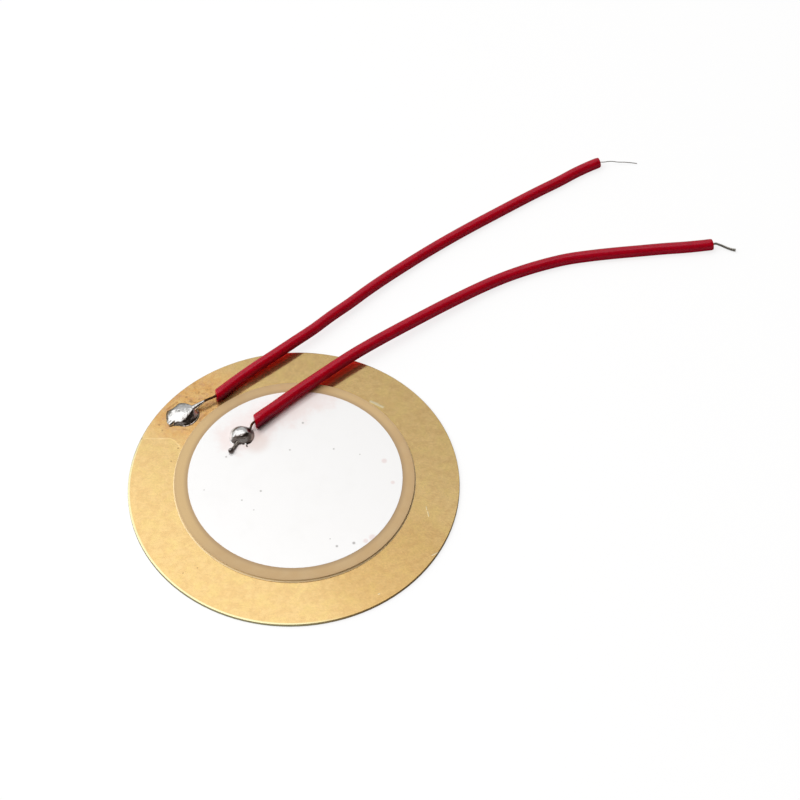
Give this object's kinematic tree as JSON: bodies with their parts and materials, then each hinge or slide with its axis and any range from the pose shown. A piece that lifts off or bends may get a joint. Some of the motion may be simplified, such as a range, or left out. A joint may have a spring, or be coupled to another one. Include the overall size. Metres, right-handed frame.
{
  "type": "piezo disc",
  "caption": "Round brass piezo disc with a bonded ceramic layer, a silvered electrode and two soldered red leads that lie loose and end in bare strands.",
  "frame": {"origin": "centre of the brass plate's underside", "axes": "+Z out of the plate on the ceramic's side; the leads leave towards +X and +Y"},
  "size_m": [0.0515, 0.0489, 0.0017],
  "materials": {
    "brass": "rolled sheet, faintly scratched, with an amber flux stain round the solder",
    "bond": "cured epoxy",
    "silver": "fired silver print, matt, with a few dark specks",
    "ceramic": "fired piezo ceramic, smooth and unglazed",
    "solder": "bright tin solder",
    "red_pvc": "satin extruded jacket",
    "tinned_copper": "tinned, slightly dull"
  },
  "bodies": {
    "root": {"brass_plate": "brass", "bond_layer": "bond", "lower_electrode": "silver", "ceramic_disc": "ceramic", "upper_electrode": "silver", "plate_solder_joint": "solder", "electrode_solder_joint": "solder", "plate_lead_jacket": "red_pvc", "electrode_lead_jacket": "red_pvc", "plate_lead_strand_1": "tinned_copper", "plate_lead_strand_2": "tinned_copper", "plate_lead_strand_3": "tinned_copper", "plate_lead_strand_4": "tinned_copper", "plate_lead_strand_5": "tinned_copper", "plate_lead_strand_6": "tinned_copper", "plate_lead_strand_7": "tinned_copper", "electrode_lead_strand_1": "tinned_copper", "electrode_lead_strand_2": "tinned_copper", "electrode_lead_strand_3": "tinned_copper", "electrode_lead_strand_4": "tinned_copper", "electrode_lead_strand_5": "tinned_copper", "electrode_lead_strand_6": "tinned_copper", "electrode_lead_strand_7": "tinned_copper"}
  },
  "joints": []
}
